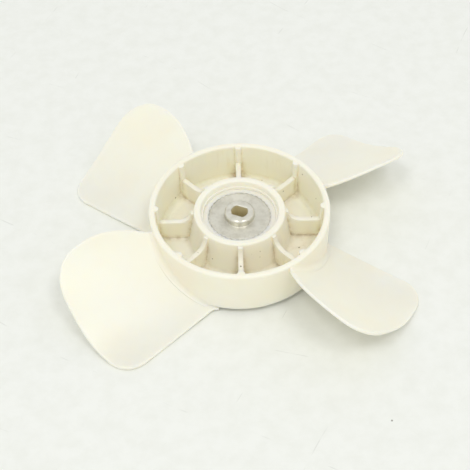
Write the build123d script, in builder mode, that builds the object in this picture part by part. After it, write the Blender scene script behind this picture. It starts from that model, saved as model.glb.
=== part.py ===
from build123d import *
import os
from math import radians, sqrt, tan

# Axial fan impeller, lying with its ribbed side up. All sizes are in millimetres.
# The axis is Z and the blades' lowest corners stand on Z = 0. X runs along one of the eight ribs.

# Drum
drum_diameter = 87.0
drum_base_diameter = 86.6
drum_height = 24.1
drum_clearance = 3.0
drum_wall = 3.0
wall_draft = 0.3
floor_thickness = 3.3
rim_rounding = 1.1
base_rounding = 0.6
pocket_rounding = 1.8

# Ring in the middle of the drum, with a recess that goes down to the insert
ring_diameter = 44.0
ring_base_diameter = 50.0
ring_bore = 37.8
ring_drop = 2.6
ring_rounding = 0.8
recess_diameter = 36.8
recess_depth = 2.6
seat_diameter = 35.2

# Ribs, each with a half-round ridge where it meets the wall
rib_count = 8
rib_thickness = 2.4
rib_drop = 9.8
rib_foot_radius = 20.6
rib_crest_radius = 23.4
rib_sweep = 6.4
rib_anchor = 0.8
ridge_radius = 1.8
ridge_sink = 0.1
ridge_foot_sink = 0.6
ridge_drop = 0.3

# Aluminium insert
flange_diameter = 30.2
flange_thickness = 3.0
flange_drop = 6.8
serration_count = 36
serration_radius = 1.0
serration_depth = 0.4
boss_diameter = 14.4
boss_height = 3.6
boss_chamfer = 0.7
stem_diameter = 19.0
stem_foot = 3.0
groove_width = 3.0
groove_depth = 1.0
bore_diameter = 8.0
bore_across_flats = 6.0
bore_angle = -22.0
bore_chamfer = 0.2

# Blades: two opposite pairs, so the steps between them are 102.6 and 77.4 degrees
blade_thickness = 1.8
blade_tip_radius = 93.1
blade_first_angle = 18.9
blade_narrow_step = 77.4
blade_reach = 110.0
blade_edge_rounding = 0.7
lead_arc_centre = (62.0, 50.4)
lead_arc_radius = 54.3
lead_rounding = 15.0
trail_offset = 23.7
trail_slope = 24.1
trail_rounding = 12.1
root_depth = 1.6
root_flare = 4.5
root_start_margin = 0.15
root_reach = 57.0
root_fillet = 3.0
root_bearings = (-6, 2, 10, 20, 32, 42, 50)
under_fillet = 1.6
under_bearings = (-6, 2, 9, 16, 23)

# The blade's upper face is ruled between two curves, whose heights are given at five places across it
inner_section = 20.0
outer_section = 96.0
section_places = (-6.0, 4.0, 16.0, 32.0, 54.0)
inner_heights = (22.2, 18.3, 10.0, 2.9, 2.6)
outer_heights = (43.4, 29.3, 20.5, 8.5, 1.65)

# Heights and radii that follow from the sizes above
base_level = drum_clearance
rim_level = base_level + drum_height
floor_level = base_level + floor_thickness
ring_level = rim_level - ring_drop
recess_level = ring_level - recess_depth
rib_level = rim_level - rib_drop
flange_level = rim_level - flange_drop
boss_level = flange_level + boss_height
rim_radius = drum_diameter / 2
inner_radius = rim_radius - drum_wall
base_radius = drum_base_diameter / 2
wall_foot_radius = base_radius - drum_wall - wall_draft
root_margin = 0.4
root_sink = 0.6
wall_sink = 0.8
path_sink = 0.1
blend_end_share = 0.4

# Insert: flange with a serrated edge, boss above it, stem with a groove down to the drum's base
with BuildPart() as hub_insert:
    with BuildSketch(Plane.XY.offset(flange_level - flange_thickness)):
        Circle(flange_diameter / 2)
        with PolarLocations(flange_diameter / 2 + serration_radius - serration_depth, serration_count):
            Circle(serration_radius, mode=Mode.SUBTRACT)
    extrude(amount=flange_thickness)
    with BuildSketch(Plane.XY.offset(base_level)):
        Circle(stem_diameter / 2)
    extrude(amount=flange_level - flange_thickness - base_level)
    with BuildSketch(Plane.XY.offset(flange_level)):
        Circle(boss_diameter / 2)
    extrude(amount=boss_height)
    chamfer(hub_insert.faces().sort_by(Axis.Z)[-1].edges(), length=boss_chamfer)
    with BuildSketch(Plane.XY.offset(base_level + stem_foot)):
        Circle(stem_diameter / 2)
        Circle(stem_diameter / 2 - groove_depth, mode=Mode.SUBTRACT)
    extrude(amount=groove_width, mode=Mode.SUBTRACT)

    # Before its bore is cut, the insert has the shape of the room that the plastic leaves for it
    insert_room = hub_insert.part
    with BuildSketch(Plane.XY.offset(base_level)):
        Circle(bore_diameter / 2)
        Rectangle(bore_diameter * 2, bore_across_flats, rotation=bore_angle, mode=Mode.INTERSECT)
    extrude(amount=boss_level - base_level, mode=Mode.SUBTRACT)
    mouth = hub_insert.edges().filter_by_position(Axis.Z, boss_level - 0.01, boss_level + 0.01)
    chamfer(mouth.filter_by(lambda edge: edge.length < 2 * bore_diameter), length=bore_chamfer)
hub_insert.part.label = "hub_insert"

# Sheet of one blade, before its outline is cut
with BuildPart() as sheet:
    for station, heights in ((inner_section, inner_heights), (outer_section, outer_heights)):
        with BuildSketch(Plane(origin=(station, 0, 0), x_dir=(0, 1, 0), z_dir=(1, 0, 0))):
            with BuildLine():
                top = Spline(*zip(section_places, heights))
                under = []
                for share in (0.0, 0.25, 0.5, 0.75, 1.0):
                    along = top % share
                    under.append(top @ share + Vector(along.Y, -along.X) * blade_thickness)
                Spline(*under)
                Line(top @ 0, under[0])
                Line(top @ 1, under[-1])
            make_face()
    loft(ruled=True)

# Plan of one blade: a bowed and a straight edge, two rounded corners and a flare into the drum
with BuildPart() as outline:
    with BuildSketch(Plane.XY.offset(-rim_level)) as plan:
        with BuildLine():
            trail_end = (blade_reach, trail_offset + blade_reach * tan(radians(trail_slope)))
            Polyline((0, -blade_reach), (blade_reach, -blade_reach), trail_end, (0, trail_offset), close=True)
        make_face()
        with Locations(lead_arc_centre):
            Circle(lead_arc_radius, mode=Mode.INTERSECT)
        Circle(blade_tip_radius, mode=Mode.INTERSECT)
        fillet(plan.vertices().sort_by(Axis.X)[-1], radius=lead_rounding)
        fillet(plan.vertices().sort_by(Axis.Y)[-1], radius=trail_rounding)
        Circle(rim_radius)
        on_drum = plan.vertices().filter_by(lambda corner: abs(corner.center().length - rim_radius) < 0.01)
        fillet(on_drum.sort_by(Axis.Y)[-1], radius=root_flare)
        Circle(rim_radius - root_depth, mode=Mode.SUBTRACT)
        lead_x, lead_y = lead_arc_centre
        root_start = lead_y - sqrt(lead_arc_radius**2 - (rim_radius - lead_x) ** 2) - root_start_margin
        flare_end = (blade_reach, blade_reach * tan(radians(root_reach)))
        Polygon(
            (0, root_start),
            (rim_radius, root_start),
            (blade_reach, -blade_reach),
            flare_end,
            align=None,
            mode=Mode.INTERSECT,
        )
    extrude(amount=rim_level * 3)

# Concave blends along the two lines where the sheet's upper and lower faces meet the drum
blends = []
for side, full_size, bearings in ((1, root_fillet, root_bearings), (-1, under_fillet, under_bearings)):
    spots = []
    for bearing in bearings:
        foot = Vector(rim_radius - path_sink, 0).rotate(Axis.Z, bearing)
        upright = Axis((foot.X, foot.Y, -rim_level), (0, 0, 1))
        hits = sorted(hit[0].Z for hit in sheet.part.find_intersection_points(upright))
        spots.append(Vector(foot.X, foot.Y, hits[-1] if side > 0 else hits[0]))
    path = Edge.make_spline(spots)
    with BuildPart() as blend:
        for share in (0.0, 0.15, 0.3, 0.45, 0.6, 0.8, 1.0):
            spot = path @ share
            size = full_size * min(1.0, 1.0 - (1.0 - blend_end_share) * (share - 0.5) / 0.5)
            outward = Vector(spot.X, spot.Y).normalized()
            with BuildSketch(Plane(origin=spot, x_dir=outward, z_dir=path % share * -1)):
                with BuildLine():
                    RadiusArc((0, size * side), (size, 0), -size * side)
                    Polyline(
                        (size, 0),
                        (size, -root_sink * side),
                        (-wall_sink, -root_sink * side),
                        (-wall_sink, size * side),
                        (0, size * side),
                    )
                make_face()
        loft()
        with BuildSketch():
            Circle(blade_tip_radius)
        extrude(amount=rim_level - rim_rounding, mode=Mode.INTERSECT)
        add(outline, mode=Mode.INTERSECT)
    blends.append(blend.part)

# One blade: the sheet cut to its plan, with rounded edges and the two blends
with BuildPart() as blade:
    add(sheet)
    add(outline, mode=Mode.INTERSECT)
    beyond_drum = rim_radius + root_margin
    free = blade.edges().filter_by(lambda edge: edge.center().cross(Vector(0, 0, 1)).length > beyond_drum)
    uprights = free.filter_by(GeomType.LINE).filter_by(lambda edge: edge.length < 2.2 * blade_thickness)
    fillet(free - uprights, radius=blade_edge_rounding)
    for piece in blends:
        add(piece)

# Impeller: drum and ring turned in one profile, then ribs, ridges, blades and the insert's room
with BuildPart() as impeller:
    with BuildSketch(Plane.XZ) as turned:
        with BuildLine():
            Polyline(
                (0, base_level),
                (base_radius, base_level),
                (rim_radius, rim_level),
                (inner_radius, rim_level),
                (wall_foot_radius, floor_level),
                (ring_base_diameter / 2, floor_level),
                (ring_diameter / 2, ring_level),
                (ring_bore / 2, ring_level),
                (recess_diameter / 2, recess_level),
                (seat_diameter / 2, recess_level),
                (seat_diameter / 2, flange_level),
                (0, flange_level),
                close=True,
            )
        make_face()
        corners = ((rim_level, rim_rounding), (floor_level, pocket_rounding), (ring_level, ring_rounding))
        for level, radius in corners:
            fillet(turned.vertices().filter_by(lambda corner: abs(corner.Y - level) < 0.01), radius=radius)
        foot = turned.vertices().filter_by(lambda corner: corner.X > wall_foot_radius and corner.Y < floor_level)
        fillet(foot, radius=base_rounding)
    revolve(axis=Axis.Z)
    with BuildSketch(Plane.XZ):
        with BuildLine():
            wall_face = Vector(inner_radius - wall_foot_radius, rim_level - floor_level)
            wall_share = (rib_level - floor_level) / (rim_level - floor_level)
            rib_end = Vector(wall_foot_radius + rib_anchor, floor_level) + wall_face * wall_share
            sweep_centre = Vector(rib_crest_radius + rib_sweep, rib_level + rib_sweep)
            crest = Line((rib_foot_radius, rib_level + rib_sweep), (rib_crest_radius, rib_level + rib_sweep))
            ThreePointArc(
                crest @ 1,
                sweep_centre - Vector(rib_sweep, 0).rotate(Axis.Z, 45),
                sweep_centre - Vector(0, rib_sweep),
            )
            Polyline(
                sweep_centre - Vector(0, rib_sweep),
                rib_end,
                (wall_foot_radius + rib_anchor, floor_level - rib_anchor),
                (rib_foot_radius, floor_level - rib_anchor),
                crest @ 0,
            )
        make_face()
    rib = extrude(amount=rib_thickness / 2, both=True, mode=Mode.PRIVATE)
    with PolarLocations(0, rib_count):
        add(rib)
    ridge_foot = Vector(wall_foot_radius + ridge_foot_sink, 0, floor_level - rib_anchor)
    ridge_rise = Vector(inner_radius + ridge_sink, 0, rim_level - ridge_drop) - ridge_foot
    with BuildSketch(Plane.XY.offset(ridge_foot.Z)):
        with Locations((ridge_foot.X, 0)):
            Circle(ridge_radius)
    ridge = extrude(amount=ridge_rise.length, dir=ridge_rise, mode=Mode.PRIVATE)
    with PolarLocations(0, rib_count):
        add(ridge)
    for bearing in (0, 180 - blade_narrow_step, 180, 360 - blade_narrow_step):
        add(blade.part, rotation=(0, 0, blade_first_angle + bearing))
    add(insert_room, mode=Mode.SUBTRACT)
impeller.part.label = "impeller"

os.makedirs("parts", exist_ok=True)
export_step(impeller.part, "parts/impeller.step")
export_step(hub_insert.part, "parts/hub_insert.step")
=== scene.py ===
import math

import bpy
from mathutils import Matrix, Vector

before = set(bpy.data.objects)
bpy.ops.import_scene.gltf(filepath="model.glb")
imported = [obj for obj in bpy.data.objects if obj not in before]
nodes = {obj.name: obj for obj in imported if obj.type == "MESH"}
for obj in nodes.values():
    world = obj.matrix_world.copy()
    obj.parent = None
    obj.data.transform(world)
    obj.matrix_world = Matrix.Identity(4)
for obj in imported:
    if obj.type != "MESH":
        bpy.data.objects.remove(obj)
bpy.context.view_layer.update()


# Moulded wheel. The drum, its eight ribs, the middle ring and the four blades are one injection moulding in
# uncoloured polypropylene. Use has yellowed it a little and left brown dust inside the drum. The shade in
# the drum's corners is painted in the dust's brown, and the light through its wall is painted as a paler
# tone.
wheel = nodes["impeller"]
clean_ivory = "#F8F4E5"
aged_ivory = "#F7F0DE"
# A paler ivory, painted on the drum's inner face as the light that comes through its wall
painted_backlight_ivory = "#FFFAE6"
# Brown of the dust, also painted as shade in the drum's corners
dust_and_shade_brown = "#B7A87C"
grime = "#8C8262"
cloud_size = 0.022
dust_and_shade_reach = 0.0045
dust_and_shade_patch = 0.0035
streak_width = 0.0022
streak_squeeze = 0.12
speck_spacing = 0.0032
speck_size = 0.00042
mould_grain = 0.0006
grain_height = 0.0001
corner_radius = 0.0005
clean_roughness = 0.38
dusty_roughness = 0.75
ring_outside = 0.0223
ring_fade = 0.001
drum_inside = 0.0407
wall_fade = 0.0003
painted_backlight_depth = 0.004
painted_backlight_fade = 0.002
drum_floor = 0.0063
floor_fade = 0.0005
drum_rim = 0.0271
rim_fade = 0.006


def linear(hex_colour):
    """Turns an sRGB hex value into the linear colour that a shader takes."""
    parts = [int(hex_colour[i:i + 2], 16) / 255 for i in (1, 3, 5)]
    return [p / 12.92 if p <= 0.04045 else ((p + 0.055) / 1.055) ** 2.4 for p in parts] + [1.0]


def new_material(name):
    material = bpy.data.materials.new(name)
    material.use_nodes = True
    material.node_tree.nodes.clear()
    return material


def add_node(material, kind, settings=None, inputs=None):
    """Adds one node. An input is a plain value, or another node's output socket to link from."""
    node = material.node_tree.nodes.new(kind)
    for key, value in (settings or {}).items():
        setattr(node, key, value)
    for key, value in (inputs or {}).items():
        if isinstance(value, bpy.types.NodeSocket):
            material.node_tree.links.new(value, node.inputs[key])
        else:
            node.inputs[key].default_value = value
    return node


def object_place(material):
    return add_node(material, "ShaderNodeTexCoord").outputs["Object"]


def noise(material, place, size, detail, roughness=0.5):
    """A cloudy pattern. Its size is that of its largest clouds, in metres."""
    settings = {"Vector": place, "Scale": 1 / size, "Detail": detail, "Roughness": roughness}
    return add_node(material, "ShaderNodeTexNoise", inputs=settings).outputs["Fac"]


def ramp(material, value, start, end, low=0.0, high=1.0):
    """Runs from low to high while the value goes from start to end, and stays flat beyond them."""
    settings = {"Value": value, "From Min": start, "From Max": end, "To Min": low, "To Max": high}
    return add_node(material, "ShaderNodeMapRange", inputs=settings).outputs["Result"]


def combine(material, operation, first, second):
    node = add_node(material, "ShaderNodeMath", {"operation": operation}, {0: first, 1: second})
    return node.outputs["Value"]


def cover(material, amount, under, over):
    """Lays one colour over another by an amount from 0 to 1."""
    settings = {"Factor": amount, 6: under, 7: over}
    return add_node(material, "ShaderNodeMix", {"data_type": "RGBA"}, settings).outputs[2]


def radius_and_height(material, place):
    """The distance from the wheel's axis and the height above the board."""
    apart = add_node(material, "ShaderNodeSeparateXYZ", inputs={"Vector": place}).outputs
    flat = add_node(material, "ShaderNodeCombineXYZ", inputs={"X": apart["X"], "Y": apart["Y"], "Z": 0.0})
    length = add_node(
        material, "ShaderNodeVectorMath", {"operation": "LENGTH"}, {"Vector": flat.outputs["Vector"]}
    )
    return length.outputs["Value"], apart["Z"]


# Natural polypropylene, injection moulded: waxy and slightly see-through, so light spreads inside it and its
# corners glow warm. The gloss is soft and the edges are never sharp.
polypropylene = new_material("moulded_polypropylene")
place = object_place(polypropylene)
clouds = noise(polypropylene, place, cloud_size, 3.0)
ageing = ramp(polypropylene, clouds, 0.35, 0.7, high=0.8)
ivory = cover(polypropylene, ageing, linear(clean_ivory), linear(aged_ivory))

# Dust settles inside the drum, and the painted shade and painted light below stay inside it too: this mask
# is 1 between ring and wall and between floor and rim
radius, height = radius_and_height(polypropylene, place)
outside_ring = ramp(polypropylene, radius, ring_outside, ring_outside + ring_fade)
within_wall = ramp(polypropylene, radius, drum_inside + wall_fade, drum_inside)
below_rim = ramp(polypropylene, height, drum_rim, drum_rim - rim_fade)
above_floor = ramp(polypropylene, height, drum_floor - 2 * floor_fade, drum_floor - floor_fade)
between_walls = combine(polypropylene, "MULTIPLY", outside_ring, within_wall)
between_heights = combine(polypropylene, "MULTIPLY", below_rim, above_floor)
inside = combine(polypropylene, "MULTIPLY", between_heights, between_walls)

# Painted light: the drum's wall is thin, and the light that comes through it from outside is painted into
# the colour as a paler tone on its inner face
painted_backlight_end = drum_inside - painted_backlight_depth
near_wall = ramp(polypropylene, radius, painted_backlight_end - painted_backlight_fade, painted_backlight_end)
painted_backlight = combine(polypropylene, "MULTIPLY", near_wall, inside)
painted_backlight_colour = cover(polypropylene, painted_backlight, ivory, linear(painted_backlight_ivory))

# Dust lies in the corners between ribs, wall and floor, in uneven patches. The same brown also stands for
# the shade in these corners: it is painted deeper where a corner is more closed in
openness = add_node(
    polypropylene, "ShaderNodeAmbientOcclusion", {"samples": 8, "only_local": True}, {"Distance": dust_and_shade_reach}
).outputs["AO"]
corner_depth = ramp(polypropylene, openness, 0.85, 0.35)
patches = noise(polypropylene, place, dust_and_shade_patch, 6.0, 0.7)
patch_cover = ramp(polypropylene, patches, 0.36, 0.68)
corner_dust_and_shade = combine(polypropylene, "MULTIPLY", corner_depth, patch_cover)

# Thin runs of the same dust down the walls: a fine pattern stretched along the axis
stretched = add_node(
    polypropylene, "ShaderNodeVectorMath", {"operation": "MULTIPLY"},
    {0: place, 1: (1.0, 1.0, streak_squeeze)},
).outputs["Vector"]
runs = noise(polypropylene, stretched, streak_width, 4.0, 0.6)
run_cover = ramp(polypropylene, runs, 0.52, 0.8, high=0.3)
run_places = ramp(polypropylene, clouds, 0.52, 0.66)
patchy_runs = combine(polypropylene, "MULTIPLY", run_cover, run_places)
# Corner dust with its painted shade, and the dust runs, make one cover; it also makes the plastic rougher
dust_and_shade_film = combine(polypropylene, "MAXIMUM", corner_dust_and_shade, patchy_runs)
dust_and_shade_cover = combine(polypropylene, "MULTIPLY", dust_and_shade_film, inside)
dusted_and_shaded = cover(polypropylene, dust_and_shade_cover, painted_backlight_colour, linear(dust_and_shade_brown))

# Single dark grains, a few dozen in the drum and each of its own size
grain_inputs = {"Vector": place, "Scale": 1 / speck_spacing}
grains = add_node(polypropylene, "ShaderNodeTexVoronoi", inputs=grain_inputs).outputs
grain_choice = add_node(polypropylene, "ShaderNodeSeparateXYZ", inputs={"Vector": grains["Color"]})
grain_edge = ramp(polypropylene, grain_choice.outputs["X"], 0.5, 1.0, high=speck_size / speck_spacing)
grain_here = combine(polypropylene, "LESS_THAN", grains["Distance"], grain_edge)
grain_cover = combine(polypropylene, "MULTIPLY", grain_here, inside)
specked = cover(polypropylene, grain_cover, dusted_and_shaded, linear(grime))

soft_edge = add_node(polypropylene, "ShaderNodeBevel", {"samples": 6}, {"Radius": corner_radius})
mould_texture = noise(polypropylene, place, mould_grain, 2.0)
skin = add_node(
    polypropylene, "ShaderNodeBump",
    inputs={
        "Height": mould_texture, "Strength": 0.08, "Distance": grain_height,
        "Normal": soft_edge.outputs["Normal"],
    },
)
dulled = ramp(polypropylene, dust_and_shade_cover, 0.0, 1.0, clean_roughness, dusty_roughness)
plastic = add_node(
    polypropylene, "ShaderNodeBsdfPrincipled",
    inputs={
        "Base Color": specked, "Roughness": dulled, "IOR": 1.49, "Normal": skin.outputs["Normal"],
        "Subsurface Weight": 0.8, "Subsurface Radius": (1.0, 0.9, 0.68), "Subsurface Scale": 0.003,
    },
)
add_node(polypropylene, "ShaderNodeOutputMaterial", inputs={"Surface": plastic.outputs["BSDF"]})
for material_slot in wheel.material_slots:
    material_slot.material = polypropylene


# Insert. A bush turned from aluminium bar and moulded into the drum, with a boss and a bore with two flats.
# Its flange has a serrated edge for the plastic to grip, and old grease has dried in the bore.
insert = nodes["hub_insert"]
bare_aluminium = "#DAD8CC"
dulled_aluminium = "#C7C4B6"
dried_grease = "#DDD1A6"
bloom_size = 0.005
feed_mark = 0.0005
feed_depth = 0.0001
nose_radius = 0.0009
flange_face = 0.0203
boss_foot = 0.0004
boss_face = 0.0239
mouth_depth = 0.0004
bore_reach = 0.0041
flange_roughness = 0.42
boss_roughness = 0.3

# Turned aluminium: fine rings from the tool's feed stretch its highlights across them, and a grey bloom lies
# on it in patches. It is shinier on the boss, which is handled, and the tool's nose has left its corners
# round. The rings are drawn 0.5 mm apart, about twice the real feed, so that they show.
aluminium = new_material("turned_aluminium")
metal_place = object_place(aluminium)
metal_radius, metal_height = radius_and_height(aluminium, metal_place)
bloom = noise(aluminium, metal_place, bloom_size, 5.0, 0.65)
bloom_cover = ramp(aluminium, bloom, 0.42, 0.68)
metal_colour = cover(aluminium, bloom_cover, linear(bare_aluminium), linear(dulled_aluminium))
handled = ramp(
    aluminium, metal_height, flange_face, flange_face + boss_foot, flange_roughness, boss_roughness
)
rings = add_node(
    aluminium, "ShaderNodeTexWave", {"wave_type": "RINGS", "rings_direction": "Z"},
    {"Vector": metal_place, "Scale": math.pi / (10 * feed_mark), "Distortion": 0.4, "Detail": 1.0},
)
round_axis = add_node(aluminium, "ShaderNodeTangent", {"direction_type": "RADIAL", "axis": "Z"})
tool_nose = add_node(aluminium, "ShaderNodeBevel", {"samples": 8}, {"Radius": nose_radius})
turned = add_node(
    aluminium, "ShaderNodeBump",
    inputs={
        "Height": rings.outputs["Fac"], "Strength": 0.12, "Distance": feed_depth,
        "Normal": tool_nose.outputs["Normal"],
    },
)
metal = add_node(
    aluminium, "ShaderNodeBsdfPrincipled",
    inputs={
        "Base Color": metal_colour, "Metallic": 1.0, "Roughness": handled,
        "Normal": turned.outputs["Normal"], "Tangent": round_axis.outputs["Tangent"],
        "Anisotropic": 0.75, "Anisotropic Rotation": 0.25,
    },
)

# Dried grease: brown, dull and no metal. It is on the bore's wall only, below its mouth.
in_bore = combine(aluminium, "LESS_THAN", metal_radius, bore_reach)
below_mouth = combine(aluminium, "LESS_THAN", metal_height, boss_face - mouth_depth)
greasy = combine(aluminium, "MULTIPLY", in_bore, below_mouth)
grease = add_node(
    aluminium, "ShaderNodeBsdfPrincipled",
    inputs={"Base Color": linear(dried_grease), "Roughness": 0.6, "IOR": 1.47},
)
bush_surface = add_node(
    aluminium, "ShaderNodeMixShader", inputs={0: greasy, 1: metal.outputs["BSDF"], 2: grease.outputs["BSDF"]}
)
add_node(aluminium, "ShaderNodeOutputMaterial", inputs={"Surface": bush_surface.outputs["Shader"]})
for material_slot in insert.material_slots:
    material_slot.material = aluminium


# Table top that the wheel lies on: a pale, slightly green laminate board, much larger than the view. Use has
# left fine scratches and a few grains of dirt on it.
board_half = 1.5
board_colour = "#F3F5EF"
rubbed_colour = "#EFF1EA"
scratch_colour = "#DDDFD8"
dirt_colour = "#9A9A90"
rub_size = 0.009
scratch_pitch = 0.045
scratch_width = 0.00035
scratch_length = 0.016
dirt_spacing = 0.022
dirt_size = 0.0007
board_mesh = bpy.data.meshes.new("board")
board_corners = [(x * board_half, y * board_half, 0) for x, y in ((-1, -1), (1, -1), (1, 1), (-1, 1))]
board_mesh.from_pydata(board_corners, [], [(0, 1, 2, 3)])
board = bpy.data.objects.new("board", board_mesh)
bpy.context.scene.collection.objects.link(board)

# White melamine laminate: smooth and nearly matt, clouded where it was wiped
laminate = new_material("white_laminate")
board_place = object_place(laminate)
rubs = noise(laminate, board_place, rub_size, 5.0, 0.65)
rub_cover = ramp(laminate, rubs, 0.4, 0.65)
board_shade = cover(laminate, rub_cover, linear(board_colour), linear(rubbed_colour))

# Scratches: long wavering lines two ways across the board, of which only short pieces show
for turn, shift in ((0.5, 3.0), (2.1, 11.0)):
    turned_place = add_node(
        laminate, "ShaderNodeMapping",
        inputs={"Vector": board_place, "Rotation": (0.0, 0.0, turn), "Location": (shift, shift, 0.0)},
    ).outputs["Vector"]
    lines = add_node(
        laminate, "ShaderNodeTexWave",
        {"wave_type": "BANDS", "bands_direction": "X", "wave_profile": "TRI"},
        {
            "Vector": turned_place, "Scale": math.pi / (10 * scratch_pitch), "Distortion": 5.0,
            "Detail": 2.0, "Detail Scale": 0.6,
        },
    )
    on_line = ramp(laminate, lines.outputs["Fac"], 1 - 2 * scratch_width / scratch_pitch, 1.0)
    stretches = noise(laminate, turned_place, scratch_length, 2.0)
    shown = ramp(laminate, stretches, 0.6, 0.68, high=0.8)
    scratch_cover = combine(laminate, "MULTIPLY", on_line, shown)
    board_shade = cover(laminate, scratch_cover, board_shade, linear(scratch_colour))

# Grains of dirt, well apart and of different sizes
dirt = add_node(laminate, "ShaderNodeTexVoronoi", inputs={"Vector": board_place, "Scale": 1 / dirt_spacing})
dirt_choice = add_node(laminate, "ShaderNodeSeparateXYZ", inputs={"Vector": dirt.outputs["Color"]})
dirt_edge = ramp(laminate, dirt_choice.outputs["X"], 0.4, 1.0, high=dirt_size / dirt_spacing)
dirt_here = combine(laminate, "LESS_THAN", dirt.outputs["Distance"], dirt_edge)
board_shade = cover(laminate, dirt_here, board_shade, linear(dirt_colour))
matt = add_node(
    laminate, "ShaderNodeBsdfPrincipled", inputs={"Base Color": board_shade, "Roughness": 0.7, "IOR": 1.5}
)
add_node(laminate, "ShaderNodeOutputMaterial", inputs={"Surface": matt.outputs["BSDF"]})
board_mesh.materials.append(laminate)


# Light: an even white studio tent all round gives most of it, and two soft lamps high in front of the wheel,
# right and left, give the blades their shading.
tent_level = 0.74
lamp_distance = 2.0
lamp_size = 0.55
lamp_height = math.radians(66)
world = bpy.data.worlds.new("tent")
bpy.context.scene.world = world
world.use_nodes = True
world.node_tree.nodes.clear()
white = (1.0, 1.0, 1.0, 1.0)
cloth = add_node(world, "ShaderNodeBackground", inputs={"Color": white, "Strength": tent_level})
plain_white = add_node(world, "ShaderNodeBackground", inputs={"Color": white, "Strength": 1.0})

# The tent itself is white to the camera, in reflections and through clear things
ray = add_node(world, "ShaderNodeLightPath").outputs
seen_or_mirrored = combine(world, "MAXIMUM", ray["Is Camera Ray"], ray["Is Glossy Ray"])
shown_white = combine(world, "MAXIMUM", seen_or_mirrored, ray["Is Transmission Ray"])
tent = add_node(
    world, "ShaderNodeMixShader",
    inputs={0: shown_white, 1: cloth.outputs["Background"], 2: plain_white.outputs["Background"]},
)
add_node(world, "ShaderNodeOutputWorld", inputs={"Surface": tent.outputs["Shader"]})


def soft_lamp(name, bearing, level):
    """A round lamp aimed at the wheel. Its level is the share of the board's light that it gives."""
    data = bpy.data.lights.new(name, "AREA")
    data.shape = "DISK"
    data.size = lamp_size
    data.energy = level * math.pi ** 2 * lamp_distance ** 2 / math.sin(lamp_height)
    lamp = bpy.data.objects.new(name, data)
    flat = math.cos(lamp_height)
    towards = Vector((math.cos(bearing) * flat, math.sin(bearing) * flat, math.sin(lamp_height)))
    lamp.location = towards * lamp_distance
    lamp.rotation_euler = towards.to_track_quat("Z", "Y").to_euler()
    bpy.context.scene.collection.objects.link(lamp)


soft_lamp("right_lamp", math.radians(312), 0.13)
soft_lamp("left_lamp", math.radians(236), 0.125)


# Camera: half a metre away, looking down at 50 degrees from the front, with the photograph's framing. Its
# place and turn were fitted to the rims of the drum and the ring.
camera_place = Vector((-0.00211, -0.33275, 0.39915))
camera_right = Vector((0.99975, -0.01694, -0.01433))
camera_back = Vector((0.0, -0.6457, 0.7636))
camera_up = camera_back.cross(camera_right)
camera_data = bpy.data.cameras.new("camera")
camera_data.sensor_width = 36
camera_data.lens = 79.86
camera_data.shift_x = -0.00147
camera_data.shift_y = 0.00106
camera = bpy.data.objects.new("camera", camera_data)
camera_turn = Matrix((camera_right, camera_up, camera_back)).transposed().to_4x4()
camera.matrix_world = Matrix.Translation(camera_place) @ camera_turn
bpy.context.scene.collection.objects.link(camera)
bpy.context.scene.camera = camera
bpy.context.scene.view_settings.view_transform = "Standard"
